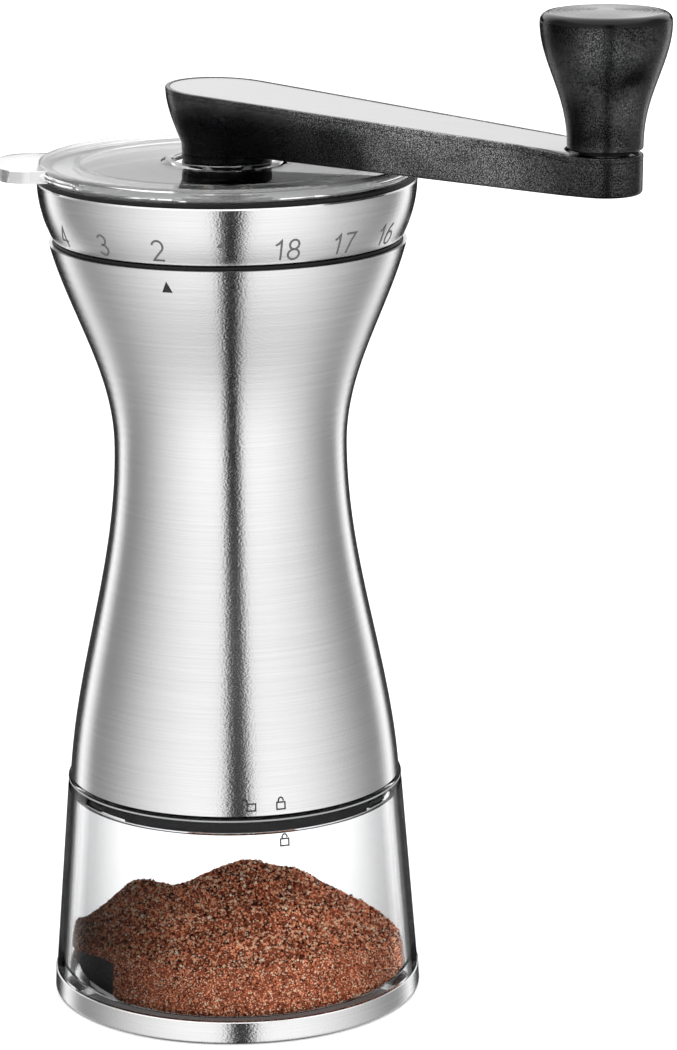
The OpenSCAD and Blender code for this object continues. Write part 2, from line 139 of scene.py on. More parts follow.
def graded(nt, value, stops):
    """Turns a value into a grey by (position, grey) stops."""
    ramp = nt.nodes.new("ShaderNodeValToRGB")
    elements = ramp.color_ramp.elements
    while len(elements) > 1:
        elements.remove(elements[-1])
    for i, (place, grey) in enumerate(stops):
        e = elements[0] if i == 0 else elements.new(place)
        e.position = place
        e.color = (grey, grey, grey, 1)
    nt.links.new(value, ramp.inputs[0])
    return ramp.outputs["Color"]


def split_axes(nt, space="Object"):
    """X, Y and Z of the shaded point."""
    coords = nt.nodes.new("ShaderNodeTexCoord")
    split = nt.nodes.new("ShaderNodeSeparateXYZ")
    nt.links.new(coords.outputs[space], split.inputs[0])
    return split.outputs


def axis_distance(nt):
    """Distance of the shaded point from the object's own Z axis."""
    coords = nt.nodes.new("ShaderNodeTexCoord")
    flat = nt.nodes.new("ShaderNodeVectorMath")
    flat.operation = "MULTIPLY"
    flat.inputs[1].default_value = (1, 1, 0)
    nt.links.new(coords.outputs["Object"], flat.inputs[0])
    length = nt.nodes.new("ShaderNodeVectorMath")
    length.operation = "LENGTH"
    nt.links.new(flat.outputs[0], length.inputs[0])
    return length.outputs["Value"]


def edge_on(nt):
    """0 where a surface is seen face on, 1 where it is seen edge on."""
    weight = nt.nodes.new("ShaderNodeLayerWeight")
    weight.inputs["Blend"].default_value = 0.5
    return weight.outputs["Facing"]


def object_noise(nt, scale, detail=2.0, stretch=(1, 1, 1), turn=0.0, kind="ShaderNodeTexNoise"):
    """Noise over object coordinates, stretched along the row axes after a turn about Z."""
    coords = nt.nodes.new("ShaderNodeTexCoord")
    mapping = nt.nodes.new("ShaderNodeMapping")
    mapping.inputs["Scale"].default_value = stretch
    mapping.inputs["Rotation"].default_value = (0, 0, turn)
    nt.links.new(coords.outputs["Object"], mapping.inputs["Vector"])
    tex = nt.nodes.new(kind)
    tex.inputs["Scale"].default_value = scale
    if "Detail" in tex.inputs:
        tex.inputs["Detail"].default_value = detail
    nt.links.new(mapping.outputs[0], tex.inputs["Vector"])
    return tex


def bumped(nt, bsdf, height, strength, distance):
    """Raises the surface by a height, at most a distance in metres."""
    n = nt.nodes.new("ShaderNodeBump")
    dress(nt, n, {"Strength": strength, "Distance": distance, "Height": height})
    nt.links.new(n.outputs[0], bsdf.inputs["Normal"])


def turned_sheen(nt, bsdf, amount):
    """Stretches highlights across a surface that was brushed or turned round its Z axis."""
    dress(nt, bsdf, {"Anisotropic": amount, "Anisotropic Rotation": 0.25})
    tangent = nt.nodes.new("ShaderNodeTangent")
    tangent.direction_type = "RADIAL"
    tangent.axis = "Z"
    nt.links.new(tangent.outputs[0], bsdf.inputs["Tangent"])


def new_material(name):
    mat = bpy.data.materials.new(name)
    mat.use_nodes = True
    nt = mat.node_tree
    return mat, nt, nt.nodes["Principled BSDF"]


# ---------------------------------------------------------------- studio
# Brightness of the studio round the mill, by angle from the front in degrees: two softboxes with
# a dark gap between them, falling off to the sides, bright strips behind and dark flags.
STUDIO_BANDS = [(0, 0.01), (5, 0.015), (8.2, 0.75), (11.5, 1.3), (20, 1.44), (32, 1.44), (42, 1.38),
                (52, 1.27), (62, 1.14), (72, 0.97), (82, 0.79), (92, 0.62), (102, 0.47), (113, 0.37),
                (122, 0.36), (127, 0.7), (134, 1.3), (141, 1.6), (144, 1.1), (146.5, 0.12),
                (149, 0.01), (171, 0.01), (175, 0.4), (180, 0.7)]
BANDS_TURN = 2.0            # degrees that the whole studio is turned from the front
BANDS_SCALE = 2.0           # a ramp holds brightness up to 1, so it goes in divided by this
BEHIND = (0.72, 0.86)       # where the side becomes the back, as a share of the half turn
CEILING_FRONT, CEILING_BACK = (0.6, 0.9), (0.13, 0.22)   # the ceiling's edge, by height
CEILING_LIGHT, CEILING_RISE = 1.65, 0.6
FLOOR_HALF = 8.0            # metres


def make_world():
    """A round studio of bands under a bright ceiling, a little darker above the middle and
    dark straight below."""
    world = bpy.data.worlds.new("studio")
    bpy.context.scene.world = world
    world.use_nodes = True
    nt = world.node_tree
    nt.nodes.clear()
    x, y, z = split_axes(nt, "Generated")
    down = maths(nt, "MULTIPLY", z, -1.0)
    turned = maths(nt, "ARCTAN2", x, maths(nt, "MULTIPLY", y, -1.0))
    offset = maths(nt, "SUBTRACT", turned, math.radians(BANDS_TURN))
    angle = maths(nt, "DIVIDE", maths(nt, "ABSOLUTE", offset), math.pi)
    bands = graded(nt, angle, [(a / 180, v / BANDS_SCALE) for a, v in STUDIO_BANDS])
    above = mixed(nt, stepped(nt, angle, *BEHIND),
                  stepped(nt, z, *CEILING_FRONT), stepped(nt, z, *CEILING_BACK))
    rise = maths(nt, "MULTIPLY", stepped(nt, z, 0.35, 0.85), CEILING_RISE)
    ceiling = maths(nt, "ADD", CEILING_LIGHT, rise)
    high_fall = maths(nt, "MULTIPLY", stepped(nt, z, -0.2, 0.15), -0.18)
    low_fall = maths(nt, "MULTIPLY", stepped(nt, down, 0.3, 0.6), -0.03)
    dark_below = maths(nt, "MULTIPLY", stepped(nt, down, 0.78, 0.92), -0.9)
    level = maths(nt, "ADD", maths(nt, "ADD", 1.0, high_fall), maths(nt, "ADD", low_fall, dark_below))
    bands_light = maths(nt, "MULTIPLY", maths(nt, "MULTIPLY", bands, BANDS_SCALE), level)
    background = nt.nodes.new("ShaderNodeBackground")
    nt.links.new(mixed(nt, above, bands_light, ceiling), background.inputs["Color"])
    output = nt.nodes.new("ShaderNodeOutputWorld")
    nt.links.new(background.outputs[0], output.inputs["Surface"])


def make_floor():
    s = FLOOR_HALF
    mesh = bpy.data.meshes.new("floor")
    mesh.from_pydata([(-s, -s, 0), (s, -s, 0), (s, s, 0), (-s, s, 0)], [], [(0, 1, 2, 3)])
    floor = bpy.data.objects.new("floor", mesh)
    bpy.context.scene.collection.objects.link(floor)
    mat, nt, bsdf = new_material("floor_white")
    dress(nt, bsdf, {"Base Color": (0.93, 0.93, 0.935), "Roughness": 0.85, "Specular IOR Level": 0.1,
                     "Emission Color": (1, 1, 1), "Emission Strength": 0.12})
    mesh.materials.append(mat)
    floor.visible_glossy = False


# ---------------------------------------------------------------- materials
# The container's inner wall: its radius at the foot and at the mouth, and their heights
JAR_IN_FOOT, JAR_IN_MOUTH, JAR_FOOT_Z, JAR_MOUTH_Z = 37.1, 33.6, 6.4, 49.5
WALL_SPLIT = 0.6            # how far outside the inner wall the outer wall's tint starts


def brushed_steel(name, stretch, turn=0.0, round_z=True, tone=0.70, rough=(0.21, 0.26)):
    """Steel with fine parallel brushing: round the Z axis, or along the row's turned X."""
    mat, nt, bsdf = new_material(name)
    streaks = object_noise(nt, 1.0, 4.0, stretch, turn)
    long_streaks = object_noise(nt, 1.0, 2.0, tuple(c * 0.4 for c in stretch), turn)
    speckle = object_noise(nt, 2000.0, 1.0, (1, 1, 1.6))
    grain = mixed(nt, 0.4, streaks.outputs["Fac"], long_streaks.outputs["Fac"])
    dark, light = (tone * 0.85,) * 3, (min(tone * 1.15, 1),) * 3
    dress(nt, bsdf, {"Base Color": blended(nt, ranged(nt, grain, 0, 1), dark, light),
                     "Roughness": ranged(nt, grain, *rough), "Metallic": 1.0})
    if round_z:
        turned_sheen(nt, bsdf, 1.0)
    bumped(nt, bsdf, speckle.outputs["Fac"], 0.8, 0.00003)
    return mat


def bright_steel():
    mat, nt, bsdf = new_material("bright_steel")
    turned = object_noise(nt, 1.0, 2.0, (200, 200, 3000)).outputs["Fac"]
    dress(nt, bsdf, {"Base Color": blended(nt, turned, (0.5, 0.5, 0.52), (0.68, 0.68, 0.7)),
                     "Roughness": ranged(nt, turned, 0.16, 0.3), "Metallic": 1.0})
    return mat


def clear_acrylic(name, ior):
    mat, nt, bsdf = new_material(name)
    haze = object_noise(nt, 25.0, 2.0)
    dress(nt, bsdf, {"IOR": ior, "Transmission Weight": 1.0,
                     "Roughness": ranged(nt, haze.outputs["Fac"], 0.0, 0.02)})
    return mat, nt, bsdf


# Painted shade: how much light the lid's surfaces let through, from face on (0) to edge on (1), darker at
# the edges
LID_PAINTED_EDGE_SHADE = [(0, 0.99), (0.83, 0.97), (0.9, 0.55), (0.96, 0.2), (1, 0.1)]
# Painted light: between these radii the lid is a little milky, standing in for light gathering in the rim.
LID_RIM = (38.6, 39.8)      # radii between which the lid turns a little milky


def lid_acrylic():
    """Clear acrylic, a little milky in the thick rim and the tab as painted light where the light gathers,
    and tinted darker edge on as painted shade.
    """
    mat, nt, bsdf = clear_acrylic("clear_acrylic", 1.6)
    start, end = LID_RIM
    dress(nt, bsdf, {"Transmission Weight": remapped(nt, axis_distance(nt), start * MM, end * MM, 1.0, 0.86),
                     "Base Color": graded(nt, edge_on(nt), LID_PAINTED_EDGE_SHADE)})
    return mat


# Painted shade and reflection: how much light the container's outer wall lets through, from face on (0) to
# edge on (1), in dark and light bands that stand in for the studio seen by refraction
WALL_PAINTED_EDGE_BANDS = [(0, 0.99), (0.134, 0.92), (0.286, 0.70), (0.395, 0.50), (0.451, 0.42), (0.507, 0.42),
                  (0.544, 0.66), (0.585, 0.98), (0.62, 0.72), (0.655, 0.3), (0.685, 0.02), (0.72, 0.002),
                  (0.765, 0.0005), (0.83, 0.004), (0.89, 0.02), (1, 0.03)]


def container_acrylic():
    """Clear acrylic whose thick outer wall is tinted darker towards its edges in a few soft bands of painted
    shade and reflection.
    """
    mat, nt, bsdf = clear_acrylic("clear_acrylic_wall", 1.06)
    middle = remapped(nt, split_axes(nt)["Z"], JAR_FOOT_Z * MM, JAR_MOUTH_Z * MM,
                      (JAR_IN_FOOT + WALL_SPLIT) * MM, (JAR_IN_MOUTH + WALL_SPLIT) * MM)
    outside = maths(nt, "GREATER_THAN", axis_distance(nt), middle)
    bands = graded(nt, edge_on(nt), WALL_PAINTED_EDGE_BANDS)
    dress(nt, bsdf, {"Base Color": blended(nt, outside, (0.99, 0.995, 1.0), bands)})
    return mat


# Painted shade and sheen on the arm: how strongly its grain shines, by distance from the mill axis in
# hundreds of millimetres, kept low at the hub so the hub looks shaded
ARM_PAINTED_SHEEN = [(0, 0.05), (0.2, 0.07), (0.35, 0.4), (0.52, 1.0), (0.76, 0.85), (0.87, 0.24), (1, 0.24)]
ARM_PAINTED_SHEEN_SPAN = 100
# Painted sheen: the heights between which the arm's side shines more.
ARM_PAINTED_SHEEN_Z = (194, 199)    # heights between which the arm's side gets its upper sheen


def black_textured(name, along_arm):
    """Black plastic with the fine spark-eroded grain of the crank and knob. On the arm the shine of the
    grain is painted shade and sheen: kept low on the hub so it looks shaded, strongest in the middle, and
    raised high on the side as a painted sheen."""
    mat, nt, bsdf = new_material(name)
    grain = object_noise(nt, 4300.0, 1.0).outputs["Fac"]
    clouds = object_noise(nt, 85.0, 1.0).outputs["Fac"]
    facet = remapped(nt, grain, 0.43, 0.68, 0.08, 1.0)
    sheen = (0.75, 1.3) if along_arm else (0.15, 1.8)
    level = maths(nt, "MULTIPLY", facet, remapped(nt, clouds, 0.36, 0.64, *sheen))
    # Painted shade and sheen: the arm's specular level is set by distance from the axis and by height, not
    # by any wear.
    if along_arm:
        low, high = ARM_PAINTED_SHEEN_Z
        place = maths(nt, "DIVIDE", axis_distance(nt), ARM_PAINTED_SHEEN_SPAN * MM)
        painted_top_sheen = remapped(nt, split_axes(nt)["Z"], low * MM, high * MM, 0.0, 0.4)
        painted_sheen = maths(nt, "ADD", graded(nt, place, ARM_PAINTED_SHEEN), painted_top_sheen)
        level = maths(nt, "MULTIPLY", maths(nt, "MULTIPLY", level, painted_sheen), 3.4)
    dress(nt, bsdf, {"Base Color": blended(nt, clouds, (0.001, 0.001, 0.0012), (0.003, 0.003, 0.0034)),
                     "Specular IOR Level": level, "Roughness": ranged(nt, clouds, 0.18, 0.28)})
    bumped(nt, bsdf, grain, 0.5, 0.00006)
    return mat


def moulded(name, dark, light, rough=(0.38, 0.5), grain=900.0, metallic=0.0):
    """Satin moulded plastic, rubber or sintered metal with faint mottling and a fine grain."""
    mat, nt, bsdf = new_material(name)
    clouds = object_noise(nt, 70.0, 3.0)
    fine = object_noise(nt, grain, 2.0).outputs["Fac"]
    dress(nt, bsdf, {"Base Color": blended(nt, clouds.outputs["Fac"], dark, light),
                     "Roughness": ranged(nt, fine, *rough), "Metallic": metallic,
                     "Specular IOR Level": 0.25 if dark[0] < 0.1 else 0.5})
    bumped(nt, bsdf, fine, 0.15, 0.00005)
    return mat


def gloss_black():
    mat, nt, bsdf = new_material("gloss_black")
    clouds = object_noise(nt, 90.0, 3.0).outputs["Fac"]
    dress(nt, bsdf, {"Base Color": blended(nt, clouds, (0.002, 0.002, 0.0022), (0.005, 0.005, 0.0055)),
                     "Roughness": ranged(nt, clouds, 0.12, 0.2), "Specular IOR Level": 0.2})
    return mat


def gloss_disc():
    """The disc on the knob: smoky metal turned in fine rings about its own axis."""
    mat, nt, bsdf = new_material("gloss_disc")
    noise_1d = nt.nodes.new("ShaderNodeTexNoise")
    noise_1d.noise_dimensions = "1D"
    dress(nt, noise_1d, {"Scale": 1500.0, "Detail": 3.0, "W": axis_distance(nt)})
    rings = noise_1d.outputs["Fac"]
    patches = object_noise(nt, 75.0, 0.0)
    shade = maths(nt, "MULTIPLY_ADD", patches.outputs["Fac"], 1.5, ranged(nt, rings, -0.55, 0.15))
    dress(nt, bsdf, {"Base Color": blended(nt, shade, (0.04, 0.04, 0.042), (0.32, 0.32, 0.325)),
                     "Roughness": ranged(nt, rings, 0.2, 0.34), "Metallic": 1.0})
    turned_sheen(nt, bsdf, 0.8)
    bumped(nt, bsdf, rings, 0.4, 0.00004)
    return mat


HEAP_HALF = 32              # half the width over which the heap's shade changes
# Painted shade of the heap, from its shaded dark side at -X (0) to its lit side at +X (1)
HEAP_PAINTED_SHADE = [(0, 0.18), (0.12, 0.26), (0.3, 0.68), (0.45, 0.84), (0.75, 0.97), (1, 1)]


def coffee(name, dark, light):
    """Ground coffee of one tone, mottled, with broad lighter and darker patches, and painted shade that
    darkens it towards -X.
    """
    mat, nt, bsdf = new_material(name)
    cells = object_noise(nt, 3200.0, kind="ShaderNodeTexVoronoi")
    split = nt.nodes.new("ShaderNodeSeparateColor")
    nt.links.new(cells.outputs["Color"], split.inputs[0])
    tone, gloss = split.outputs[0], split.outputs[1]
    patches = blended(nt, object_noise(nt, 110.0, 3.0).outputs["Fac"], (0.66, 0.62, 0.6), (1.6, 1.6, 1.6))
    # Painted shade: the colour darkens towards -X and lightens towards +X, as if lit from the right.
    place = remapped(nt, split_axes(nt)["X"], -HEAP_HALF * MM, HEAP_HALF * MM, 0.0, 1.0)
    shade = blended(nt, 1.0, blended(nt, tone, dark, light), patches, "MULTIPLY")
    dress(nt, bsdf, {"Base Color": blended(nt, 1.0, shade, graded(nt, place, HEAP_PAINTED_SHADE), "MULTIPLY"),
                     "Roughness": ranged(nt, gloss, 0.35, 0.75), "Specular IOR Level": 0.12})
    bumped(nt, bsdf, cells.outputs["Distance"], 0.5, 0.0003)
    return mat


def etched(name, dark, light):
    mat, nt, bsdf = new_material(name)
    fine = object_noise(nt, 4000.0, 2.0).outputs["Fac"]
    dress(nt, bsdf, {"Base Color": blended(nt, fine, dark, light), "Roughness": ranged(nt, fine, 0.5, 0.7)})
    return mat


CRANK_AZIMUTH = math.radians(-35)
MATERIALS = {
    "steel_round": brushed_steel("brushed_steel", (60, 60, 5200)),
    "steel_plate": brushed_steel("brushed_steel_plate", (60, 5200, 60), -CRANK_AZIMUTH, round_z=False,
                                 tone=0.42, rough=(0.3, 0.4)),
    "steel": bright_steel(),
    "clear": lid_acrylic(),
    "wall": container_acrylic(),
    "black": black_textured("textured_black", False),
    "arm_black": black_textured("textured_black_arm", True),
    "dark": moulded("dark_plastic", (0.006, 0.006, 0.0065), (0.014, 0.014, 0.015)),
    "rubber": moulded("seal_rubber", (0.003, 0.003, 0.003), (0.008, 0.008, 0.008), (0.45, 0.6)),
    "grey": moulded("grey_plastic", (0.55, 0.56, 0.57), (0.66, 0.67, 0.68)),
    "ceramic": moulded("ceramic", (0.78, 0.76, 0.70), (0.88, 0.87, 0.82), (0.5, 0.65), 1800.0),
    "brass": moulded("bush_brass", (0.55, 0.40, 0.16), (0.68, 0.52, 0.24), (0.25, 0.4), metallic=1.0),
    "lip": moulded("acrylic_lip", (0.30, 0.30, 0.31), (0.45, 0.45, 0.46), (0.08, 0.16), 400.0),
    "disc": gloss_disc(),
    # Painted shade: the heap's own surface is much darker than the crumbs on it, so the gaps between crumbs
    # look shadowed.
    "coffee": coffee("coffee_grounds", (0.05, 0.011, 0.005), (0.42, 0.12, 0.06)),
    # Painted shade: near-black coffee for the low faces in the hollow at the front left, standing in for the
    # shadow there.
    "coffee_painted_shade": coffee("coffee_painted_shade", (0.002, 0.002, 0.002), (0.008, 0.007, 0.007)),
    "gloss": gloss_black(),
    "ink": etched("etched_mark", (0.07, 0.07, 0.075), (0.15, 0.15, 0.155)),
    "dark_ink": etched("index_mark", (0.006, 0.006, 0.006), (0.02, 0.02, 0.02)),
}
# Tones of the loose crumbs, with how many in a hundred have each
CRUMB_TONES = [(coffee("crumb_black", (0.012, 0.003, 0.002), (0.08, 0.018, 0.009)), 22),
               (coffee("crumb_dark", (0.18, 0.04, 0.018), (0.48, 0.12, 0.055)), 24),
               (coffee("crumb_brown", (0.78, 0.22, 0.10), (1.0, 0.38, 0.20)), 28),
               (coffee("crumb_light", (1.0, 0.47, 0.27), (1.0, 0.68, 0.44)), 21),
               (coffee("crumb_pale", (1.0, 0.80, 0.60), (1.0, 0.95, 0.78)), 5)]

NODE_MATERIALS = {
    "steel_round": ["base_ring", "housing_shell", "dial_ring"],
    "steel_plate": ["arm_plate"],
    "steel": ["carrier_screws", "click_spring", "drive_shaft", "burr_washer", "burr_nut", "shaft_collar",
              "shaft_spring", "shaft_clip", "hex_insert", "knob_axle"],
    "clear": ["lid"],
    "wall": ["container"],
    "black": ["crank_arm", "knob"],
    "dark": ["bayonet_collar", "burr_carrier", "top_collar", "knob_washer"],
    "rubber": ["container_seal", "lid_gasket"],
    "grey": ["hopper_liner", "hopper_funnel", "dial_core", "bearing_bridge"],
    "ceramic": ["ring_burr", "cone_burr"],
    "brass": ["lower_bush", "upper_bush"],
    "disc": ["knob_cap"],
    "coffee": ["ground_coffee"],
}


def paint_nodes():
    for material, names in NODE_MATERIALS.items():
        for name in names:
            mesh = NODES[name].data
            mesh.materials.clear()
            mesh.materials.append(MATERIALS[material])


# ---------------------------------------------------------------- mesh helpers, in millimetres
def add_piece(name, points, faces, materials, body, slot, replaced=(), place=(0, 0, 0), sharp=35,
              face_materials=None):
    """Makes a mesh piece from points in millimetres round a place, and lets it ride on a body."""
    mesh = bpy.data.meshes.new(name)
    mesh.from_pydata([tuple(c * MM for c in p) for p in points], [], faces)
    for material in materials:
        mesh.materials.append(material)
    if face_materials:
        mesh.polygons.foreach_set("material_index", face_materials)
    obj = bpy.data.objects.new(name, mesh)
    obj.location = Vector(place) * MM
    bpy.context.scene.collection.objects.link(obj)
    finish_shading(obj, sharp)
    bpy.context.view_layer.update()
    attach(obj, body)
    if replaced:
        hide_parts(*replaced)
    return obj


def finish_shading(obj, sharp):
    """Makes the normals point outwards and shades smoothly except over sharp edges."""
    bm = bmesh.new()
    bm.from_mesh(obj.data)
    bmesh.ops.recalc_face_normals(bm, faces=bm.faces)
    bm.to_mesh(obj.data)
    bm.free()
    obj.data.shade_smooth()
    obj.data.set_sharp_from_angle(angle=math.radians(sharp))


def arc_points(cx, cz, r, start, end, count):
    """Points (x, z) on an arc, angles in degrees."""
    angles = [math.radians(start + (end - start) * i / count) for i in range(count + 1)]
    return [(cx + r * math.cos(a), cz + r * math.sin(a)) for a in angles]


def lathe(profile, segments=160):
    """Points and faces of a closed profile of (radius, height) turned round the Z axis."""
    points, rings = [], []
    for r, z in profile:
        if r < 1e-6:
            rings.append([len(points)] * segments)
            points.append((0, 0, z))
            continue
        rings.append(list(range(len(points), len(points) + segments)))
        points += [(r * math.cos(a), r * math.sin(a), z)
                   for a in (2 * math.pi * k / segments for k in range(segments))]
    faces, bands = [], []
    for band in range(len(rings)):
        low, high = rings[band], rings[(band + 1) % len(rings)]
        for k in range(segments):
            m = (k + 1) % segments
            corners = [low[k], low[m], high[m], high[k]]
            corners = [c for i, c in enumerate(corners) if c not in corners[:i]]
            if len(corners) > 2:
                faces.append(corners)
                bands.append(band)
    return points, faces, bands


def disc(radius, low, high, segments):
    """Points, faces and bands of a plain upright cylinder."""
    return lathe([(0, low), (radius, low), (radius, high), (0, high)], segments)


def loft(rings):
    """Points and faces between rings of equal count, closed at both ends."""
    count = len(rings[0])
    points = [p for ring in rings for p in ring]
    faces = []
    for i in range(len(rings) - 1):
        low, high = i * count, (i + 1) * count
        for k in range(count):
            m = (k + 1) % count
            faces.append([low + k, low + m, high + m, high + k])
    faces.append(list(range(count))[::-1])
    faces.append([(len(rings) - 1) * count + k for k in range(count)])
    return points, faces


def cut_with(obj, points, faces, operation="DIFFERENCE"):
    """Applies one boolean with a helper solid in millimetres."""
    mesh = bpy.data.meshes.new("cutter")
    mesh.from_pydata([tuple(c * MM for c in p) for p in points], [], faces)
    tool = bpy.data.objects.new("cutter", mesh)
    bpy.context.scene.collection.objects.link(tool)
    finish_shading(tool, 35)
    modifier = obj.modifiers.new("cut", "BOOLEAN")
    modifier.operation = operation
    modifier.solver = "EXACT"
    modifier.object = tool
    bpy.context.view_layer.update()
    result = bpy.data.meshes.new_from_object(obj.evaluated_get(bpy.context.evaluated_depsgraph_get()))
    obj.modifiers.clear()
    obj.data = result
    bpy.data.objects.remove(tool)


def smooth_step(t):
    t = min(max(t, 0.0), 1.0)
    return t * t * (3 - 2 * t)


# ---------------------------------------------------------------- crank arm and knob
CRANK_LENGTH = 92.5
HUB_R, BOSS_R = 12.9, 7.7
ARM_TOP, ARM_FALL = 200.0, 0.063          # height over the axis, and fall per millimetre
ARM_RIM, ARM_POCKET = 1.0, 0.65           # the rim round the steel plate, and how deep it lies
BOSS_TOP = 193.7
HUB_UNDER, BOSS_UNDER = 187.8, 185.5
NECK_R, NECK_LOW, NECK_HIGH, NECK_EDGE = 9.6, 178.3, 189.5, 0.3
SOCKET_R, SOCKET_TOP = 6.5, 192           # the space inside for the shaft's hexagon
RIM_ROUND, UNDER_ROUND = 0.42, 0.9        # edges of the arm's top and underside
INNER_TOP = 213.0                         # top of the knob's inner tube
CREASE = [(0, 0.95), (0.14, 1.0), (0.14, 1.1), (0.02, 1.16)]   # (inset, drop) of the parting crease
HUB_NARROWING, BOSS_NARROWING = 3.2, 0.1  # how much the sides draw in towards the underside


def capsule(r0, r1, inset, arc=28, side=18):
    """Outline of two circles a crank length apart and their tangents, from the hub's side round."""
    turn = math.acos((r0 - r1) / CRANK_LENGTH)
    r0, r1 = r0 - inset, r1 - inset
    hub = [(r0 * math.cos(a), r0 * math.sin(a))
           for a in (turn + (2 * math.pi - 2 * turn) * i / arc for i in range(arc + 1))]
    end = [(CRANK_LENGTH + r1 * math.cos(a), r1 * math.sin(a))
           for a in (-turn + 2 * turn * i / arc for i in range(arc + 1))]
    outline = list(hub)
    for i in range(1, side):
        t = i / side
        outline.append(tuple(hub[-1][k] + (end[0][k] - hub[-1][k]) * t for k in (0, 1)))
    outline += end
    for i in range(1, side):
        t = i / side
        outline.append(tuple(end[-1][k] + (hub[0][k] - end[-1][k]) * t for k in (0, 1)))
    return outline


def arm_top_z(x):
    slope = ARM_TOP - ARM_FALL * x
    return slope + (BOSS_TOP - slope) * smooth_step((x - 79.5) / 9.0)


def arm_under_z(x):
    reach = CRANK_LENGTH - 6.7
    return HUB_UNDER - (HUB_UNDER - BOSS_UNDER) * min(max((x + 10) / (reach + 10), 0), 1)


def crank_arm():
    """The black arm: rounded rim, parting crease under it, hub that narrows to the neck."""
    rings = []
    for inset, drop in [(ARM_RIM, ARM_POCKET), (ARM_RIM, 0.1), (ARM_RIM - 0.06, 0.02), (ARM_RIM - 0.2, 0.0)]:
        rings.append([(x, y, arm_top_z(x) - drop) for x, y in capsule(HUB_R, BOSS_R, inset)])
    for x_in, z_in in arc_points(0, 0, RIM_ROUND, 90, 0, 6):
        rings.append([(x, y, arm_top_z(x) - RIM_ROUND + z_in)
                      for x, y in capsule(HUB_R, BOSS_R, RIM_ROUND - x_in)])
    for inset, drop in CREASE:
        rings.append([(x, y, arm_top_z(x) - drop) for x, y in capsule(HUB_R, BOSS_R, inset)])
    last_inset, start = CREASE[-1]
    levels = 14
    for i in range(1, levels + 1):
        s = i / levels
        ring = []
        for x, y in capsule(HUB_R - HUB_NARROWING * s ** 1.5, BOSS_R - BOSS_NARROWING * s, last_inset):
            high, low = arm_top_z(x) - start, arm_under_z(x) + UNDER_ROUND
            ring.append((x, y, high + (low - high) * s))
        rings.append(ring)
    for x_in, z_in in arc_points(0, 0, UNDER_ROUND, 0, -90, 6)[1:]:
        rings.append([(x, y, arm_under_z(x) + UNDER_ROUND + z_in)
                      for x, y in capsule(HUB_R - HUB_NARROWING, BOSS_R - BOSS_NARROWING,
                                          UNDER_ROUND - x_in)])
    points, faces = loft(rings)
    turned = Matrix.Rotation(CRANK_AZIMUTH, 3, "Z")
    arm = add_piece("crank_arm_body", [tuple(turned @ Vector(p)) for p in points], faces,
                    [MATERIALS["arm_black"]], "crank", "textured_black", ["crank_arm"])
    groove = [(NECK_R, 184.4), (NECK_R - 0.4, 184.6), (NECK_R - 0.4, 184.9), (NECK_R, 185.1),
              (NECK_R, 186.2), (NECK_R - 0.4, 186.4), (NECK_R - 0.4, 186.7), (NECK_R, 186.9)]
    neck = [(0, NECK_LOW), (NECK_R - NECK_EDGE, NECK_LOW), (NECK_R, NECK_LOW + NECK_EDGE)]
    neck += groove + [(NECK_R, NECK_HIGH), (0, NECK_HIGH)]
    cut_with(arm, *lathe(neck, 96)[:2], "UNION")
    knob_x, knob_y, _ = turned @ Vector((CRANK_LENGTH, 0, 0))
    pocket, faces, _ = disc(BOSS_R + 0.2, BOSS_TOP, ARM_TOP, 96)
    cut_with(arm, [(x + knob_x, y + knob_y, z) for x, y, z in pocket], faces)
    cut_with(arm, *disc(SOCKET_R, NECK_LOW - 1, SOCKET_TOP, 64)[:2])
    arm.data.shade_smooth()
    arm.data.set_sharp_from_angle(angle=math.radians(38))


def knob_and_cap():
    """The knob with its textured side, crease and gloss rim, and the turned disc on top."""
    low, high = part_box("knob")
    place = ((low[0] + high[0]) / 2 / MM, (low[1] + high[1]) / 2 / MM, 0)
    bottom, top, widest = low[2] / MM, high[2] / MM, (high[0] - low[0]) / 2 / MM
    wide_z, rim_round, foot, foot_round = top - 2.06, 1.9, 7.7, 0.6
    bore, seat_r, seat_z, inner_r = 3.08, 11.55, wide_z + 0.85, 5.0

    def side_r(t):
        return foot + (widest - foot) * (1 - math.cos(math.pi * t ** 1.17)) / 2

    profile = [(bore, bottom)] + arc_points(foot - foot_round, bottom + foot_round, foot_round, -90, -8, 5)
    steps = 44
    for i in range(2, steps + 1):
        t = i / steps
        profile.append((side_r(t), bottom + t * (wide_z - bottom)))
    crease = wide_z + 0.25
    profile += [(widest, crease), (widest - 0.12, crease + 0.07), (widest - 0.12, crease + 0.13)]
    textured_bands = len(profile) - 1
    profile += arc_points(widest - rim_round, top - rim_round, rim_round, 12, 84, 9)
    profile += [(seat_r + 0.02, top - 0.08), (seat_r, seat_z), (inner_r, seat_z),
                (inner_r, INNER_TOP), (bore, INNER_TOP)]
    points, faces, bands = lathe(profile)
    add_piece("knob_turned", points, faces, [MATERIALS["black"], MATERIALS["gloss"]], "knob",
              "textured_black", ["knob"], place,
              face_materials=[0 if band < textured_bands else 1 for band in bands])

    low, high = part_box("knob_cap")
    radius, dome = seat_r - 0.06, 0.4
    outline = [(0, low[2] / MM), (radius, low[2] / MM), (radius, top - 0.08)]
    count = 60
    for i in range(count + 1):
        r = (radius - 0.12) * (1 - i / count)
        z = top + dome * (1 - (r / radius) ** 2)
        if r > 2.1:
            z += 0.006 * math.cos(r * 5.2)
        elif r > 1.4:
            z += 0.10 * math.sin((r - 1.4) / 0.7 * math.pi)
        else:
            z -= 0.30 * (1 - (r / 1.4) ** 2)
        outline.append((max(r, 0), min(z, high[2] / MM)))
    add_piece("knob_disc", *lathe(outline)[:2], [MATERIALS["disc"]], "knob", "gloss_black", ["knob_cap"],
              place)


